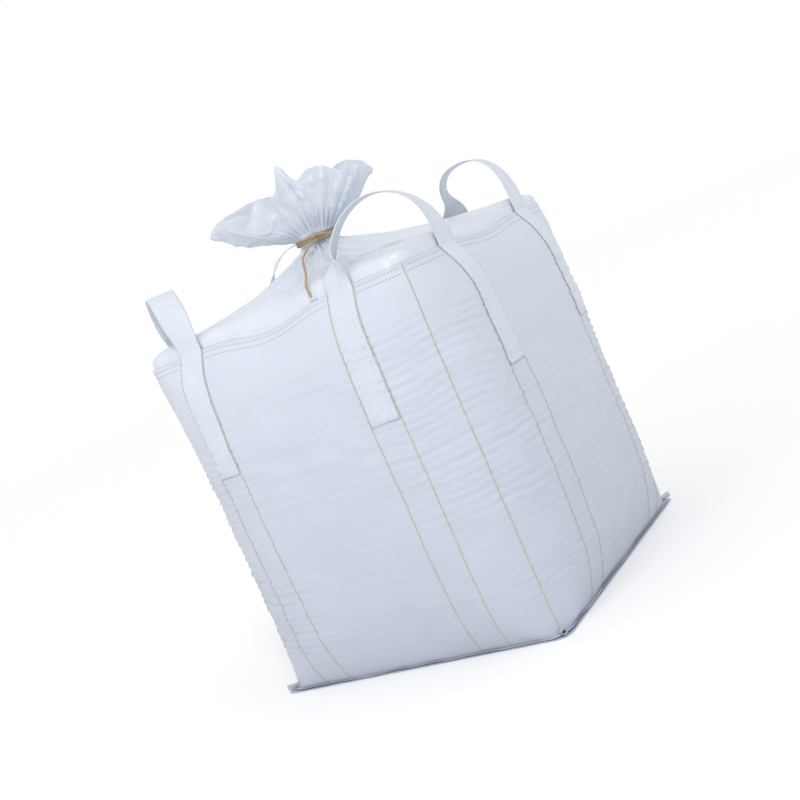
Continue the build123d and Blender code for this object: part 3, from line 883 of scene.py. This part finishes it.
# %% Corner ears
ears = []
reach = (SEAM_HALF - SEAM_RADIUS) * sqrt(2) + SEAM_RADIUS
for number in range(4):
    azimuth = radians(-45 + 90 * number)
    out = np.array((cos(azimuth), sin(azimuth), 0))
    side = np.array((-sin(azimuth), cos(azimuth), 0))

    def ear_sheet(across, along, out=out, side=side):
        angle = 2 * pi * 1.35 * across + 0.4
        size = (0.0085 - 0.0035 * across) * (0.75 + 0.35 * along)
        centre = out * (reach - 0.026 + 0.029 * along)[..., None]
        centre = centre + np.array((0, 0, 0.0135)) + np.array((0, 0, 0.003)) * along[..., None]
        sideways, upwards = (size * np.cos(angle))[..., None], (size * np.sin(angle))[..., None]
        return centre + side * sideways + np.array((0, 0, 1)) * upwards

    ears.append(cloth("ear", 28, 6, ear_sheet, (0.06, 0.03), thickness=0.0012))
dress(join("rolled_corner_ears", ears), base_fabric, "base_fabric", "bag", "base_corner_ears")

# %% [markdown]
# ## The closing skirt
# The skirt is one thin sheet: it starts inside the rim, bulges over the fill, runs up to the neck, and
# blooms above the tie. Gathering a 3.6 m girth into a neck 120 mm wide folds it into pleats, which run
# straight from the neck and fade towards the rim. Above the tie the free end flops open to two sides
# like a bow.

# %% Skirt shape
SKIRT_COLUMNS, FOOT_ROWS, DOME_ROWS, NECK_ROWS, BLOOM_ROWS = 420, 4, 64, 8, 48
FOOT_DROP, PLEAT_DEPTH = 0.030, 0.013


def pleats(turns, count, seed, sharpness=1.0):
    """Uneven folds round a ring, from 0 in the valleys to 1 on the ridges."""
    drift = 0.9 * noise(turns * count / 2, 0.5, count // 2, seed)
    wave = np.abs(np.sin(pi * (turns * count + drift)))
    height = 0.65 + 0.35 * noise(turns * count, 2.5, count, seed + 1)
    return wave ** sharpness * height


def dome_point(turns, share):
    """The skirt between the rim, share 1, and the neck's foot, share 0."""
    rim_half, rim_radius = (size - SKIRT_INSET for size in outline(RIM))
    half = NECK_RADIUS + (rim_half - NECK_RADIUS) * share
    roundness = 0.97 + (rim_radius / rim_half - 0.97) * share ** 0.7
    x, y, _, _ = rounded_square(turns, half, half * roundness)
    x, y = x + NECK.x * (1 - share), y + NECK.y * (1 - share)
    lift = SHOULDER_RISE * (1 - share) ** SHOULDER_POWER + TENT_RISE * (1 - share) ** TENT_POWER
    sag = rim_sag(turns * GIRTH) * smooth(0.75, 1.0, share)
    return np.stack((x, y, RIM + lift - sag), axis=-1)


# The hem of the bloom, from the left tip along the front to the right tip, and back behind: each point's
# azimuth round the neck, from the left tip, and then its place along the spread, towards the front, and up.
HEM = (
    (0, -0.288, 0.010, 0.112), (22, -0.240, 0.055, 0.120), (42, -0.178, 0.060, 0.098),
    (58, -0.120, 0.035, 0.160), (70, -0.066, 0.020, 0.162), (80, -0.034, 0.010, 0.228),
    (90, -0.006, 0.020, 0.212), (98, 0.014, 0.035, 0.166), (108, 0.055, 0.045, 0.184),
    (122, 0.105, 0.055, 0.170), (138, 0.150, 0.070, 0.128), (152, 0.172, 0.060, 0.104),
    (166, 0.208, 0.035, 0.128), (180, 0.232, 0.000, 0.112), (196, 0.212, -0.045, 0.150),
    (216, 0.160, -0.070, 0.172), (236, 0.110, -0.078, 0.166), (254, 0.055, -0.085, 0.178),
    (270, 0.000, -0.080, 0.150), (288, -0.060, -0.085, 0.158), (308, -0.130, -0.075, 0.170),
    (328, -0.200, -0.060, 0.160), (344, -0.258, -0.030, 0.146),
)
BLOOM_START = NECK_TOP - 0.004


def round_curve(angles, knots, values):
    """A smooth closed curve through values at knots, in degrees, read at angles."""
    knots = np.array(knots, float)
    values = np.array(values, float)
    n = len(knots)
    index = np.searchsorted(knots, angles % 360, side="right") - 1

    def at(step):
        return values[(index + step) % n]

    start = knots[index % n]
    end = np.where(index + 1 < n, knots[(index + 1) % n], 360.0)
    t = ((angles % 360 - start) / (end - start))[..., None]
    return 0.5 * (2 * at(0) + (at(1) - at(-1)) * t + (2 * at(-1) - 5 * at(0) + 4 * at(1) - at(2)) * t * t
                  + (3 * at(0) - at(-1) - 3 * at(1) + at(2)) * t ** 3)


def bloom_point(turns, share):
    """The skirt above the tie: share 0 at the neck and 1 at the hem."""
    azimuth = -90 + 360 * turns
    from_left = (azimuth - (BLOOM_AZIMUTH + 180)) % 360
    hem = round_curve(from_left, [p[0] for p in HEM], [p[1:] for p in HEM])
    angle = np.radians(azimuth)
    start = np.stack((NECK_RADIUS * np.cos(angle), NECK_RADIUS * np.sin(angle)), axis=-1)
    along = start[..., 0] * SPREAD.x + start[..., 1] * SPREAD.y
    front = start[..., 0] * TO_FRONT.x + start[..., 1] * TO_FRONT.y
    t = share
    puff = np.sin(pi * t) * (1 - 0.3 * t)
    flare = t ** 0.85
    x = along + (hem[..., 0] - along) * flare
    billow = 0.030 * puff * np.sign(front) * np.abs(front / NECK_RADIUS) ** 0.5
    d = front + (hem[..., 1] - front) * t + billow
    lobe = np.clip(np.abs(hem[..., 0]) / 0.29, 0, 1)
    z = hem[..., 2] * (t ** (1.0 - 0.25 * (1 - lobe))) - 0.016 * lobe ** 3 * np.sin(pi * t ** 1.6)
    flat = x[..., None] * np.array(SPREAD) + d[..., None] * np.array(TO_FRONT)
    return flat + np.array((NECK.x, NECK.y, BLOOM_START)) + np.array((0, 0, 1)) * z[..., None]


def skirt_sheet(across, along):
    turns = across[0]
    many = pleats(turns, 38, 11, 0.8)
    some = pleats(turns, 16, 14, 1.3)
    broad = noise(turns * 9, 0.2, 9, 17)
    rows = []
    for step in range(FOOT_ROWS):
        depth = -FOOT_DROP * (1 - step / FOOT_ROWS)
        rows.append(wall_point(turns * GIRTH, RIM + depth, -SKIRT_INSET))
    shares = 1 - (np.arange(DOME_ROWS) / DOME_ROWS) ** 1.6
    dome = np.array([dome_point(turns, share) for share in shares])
    dome_normal = normals_of(dome)
    dome_normal *= np.sign(dome_normal[..., 2:3].sum())
    share = shares[:, None]
    near_neck, past_rim = np.exp(-3.4 * share), smooth(1.0, 0.8, share)
    inward = PLEAT_DEPTH * near_neck * (1 - many)
    inward = inward + PLEAT_DEPTH * smooth(1.0, 0.55, share) * (1 - some) * (0.4 + share)
    inward = inward + 0.005 * creases(turns * 26 + 0.4 * share, share * 2.2, 26, 25) * past_rim
    small = 0.0016 * noise(turns * 70, share * 8, 70, 21) * smooth(1.0, 0.9, share)
    dent = 0.006 * smooth(1.0, 0.7, share) * (1 - broad) * smooth(0.0, 0.5, share)
    dome = dome - dome_normal * (inward + dent - small)[..., None]
    rows += list(dome)
    angle = np.radians(-90 + 360 * turns)
    circle = np.stack((np.cos(angle), np.sin(angle), 0 * angle), axis=-1)
    for step in range(NECK_ROWS):
        level = step / NECK_ROWS
        squeeze = 1 - abs(2 * level - 1) ** 2
        radius = NECK_RADIUS * (1.0 - 0.045 * squeeze) - (0.013 - 0.009 * squeeze) * (1 - many)
        height = NECK_FOOT + (BLOOM_START - NECK_FOOT) * level
        rows.append(circle * radius[..., None] + np.array((NECK.x, NECK.y, height)))
    shares = (np.arange(BLOOM_ROWS + 1) / BLOOM_ROWS)
    bloom = np.array([bloom_point(turns, share) for share in shares])
    normal = normals_of(bloom)
    centre = np.array((NECK.x, NECK.y, BLOOM_START + 0.08))
    facing = np.sign(((bloom - centre) * normal).sum(axis=2).mean(axis=0))
    normal = normal * np.sign(facing.sum())
    share = shares[:, None]
    fading = 1 - 0.9 * smooth(0.05, 0.5, share)
    ripple = 0.012 * fading * (many - 0.75) + PLEAT_DEPTH * smooth(0.1, 0.6, share) * (some - 0.6)
    small = 0.0016 * noise(turns * 80, share * 7, 80, 23)
    small = small + 0.007 * share * noise(turns * 22, share * 3, 22, 24)
    crinkle = creases(turns * 24 + 0.8 * share, share * 5, 24, 27) - 0.4
    small = small + 0.0055 * smooth(0.15, 0.5, share) * crinkle
    rows += list(bloom + normal * (ripple * smooth(0, 0.05, share) + small)[..., None])
    return np.array(rows)


skirt_rows = FOOT_ROWS + DOME_ROWS + NECK_ROWS + BLOOM_ROWS
SKIRT_CUT = (GIRTH, 0.80)  # the sheet's width and length before it was gathered
closing_skirt = cloth("gathered_skirt", SKIRT_COLUMNS, skirt_rows, skirt_sheet, SKIRT_CUT, closed=True)
dress(closing_skirt, skirt_fabric, "skirt_fabric")
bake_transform(closing_skirt)
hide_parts("closing_skirt", "skirt_neck", "skirt_bloom")

# %% [markdown]
# The cord's lower end is held to the skirt by a small square patch just above the rim. A flat square
# would do, but a sewn patch bulges a little in its middle and leans back with the skirt, so it is a
# small grid of cloth.

# %% Anchor patch
patch_low, patch_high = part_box("tie_anchor_patch")


def patch_sheet(across, along):
    x = patch_low.x + across * (patch_high.x - patch_low.x)
    z = patch_low.z + along * (patch_high.z - patch_low.z)
    crown = 0.002 * np.sin(pi * across) * np.sin(pi * along)
    y = patch_high.y - crown + 0.010 * smooth(0.3, 1.0, along) ** 2
    return np.stack((x, y, z), axis=-1)


patch = cloth("cord_patch", 10, 10, patch_sheet, (0.026, 0.026), thickness=0.001)
dress(patch, lift_webbing, "skirt_fabric", "bag", "tie_anchor_patch")

# %% [markdown]
# ## Studio
# A white room: a wide pale floor, an even sky, a soft sun from high behind the camera, and one large soft
# lamp at the left, so that the front wall is a little brighter than the right one. Several lamps could do
# the sky's work, but an even sky leaves no hard edges.

# %% Floor and lights
clear_selection()
bpy.ops.mesh.primitive_plane_add(size=40)
floor = bpy.context.object
floor.name = "studio_floor"
paper = Recipe("white_paper", Roughness=0.9, Specular_IOR_Level=0.1)
paper.feed(Base_Color=(0.93, 0.93, 0.93, 1))
floor.data.materials.append(paper.material)


def soft_light(name, place, towards, size, power, colour=(1, 1, 1)):
    clear_selection()
    bpy.ops.object.light_add(type="AREA", location=place)
    light = bpy.context.object
    light.name = name
    light.data.shape = "DISK"
    light.data.size, light.data.energy, light.data.color = size, power, colour
    light.rotation_euler = (Vector(towards) - Vector(place)).to_track_quat("-Z", "Y").to_euler()
    return light


soft_light("key_light", (-0.6, -4.2, 2.6), (0, 0, 0.8), 1.6, 22, (1.0, 0.99, 0.97))
clear_selection()
bpy.ops.object.light_add(type="SUN", location=(1.2, -2.4, 3.4))
daylight = bpy.context.object
daylight.name = "daylight"
daylight.data.energy, daylight.data.angle = 1.05, radians(18)
daylight.rotation_euler = Vector((-0.42, 0.52, -0.80)).to_track_quat("-Z", "Y").to_euler()
world = bpy.data.worlds.new("studio_sky")
bpy.context.scene.world = world
world.use_nodes = True
sky = world.node_tree.nodes["Background"]
sky.inputs["Color"].default_value = (1, 1, 1, 1)
path = world.node_tree.nodes.new("ShaderNodeLightPath")
level = world.node_tree.nodes.new("ShaderNodeMapRange")
level.inputs["To Min"].default_value, level.inputs["To Max"].default_value = 0.82, 1.0
world.node_tree.links.new(path.outputs["Is Camera Ray"], level.inputs["Value"])
world.node_tree.links.new(level.outputs["Result"], sky.inputs["Strength"])
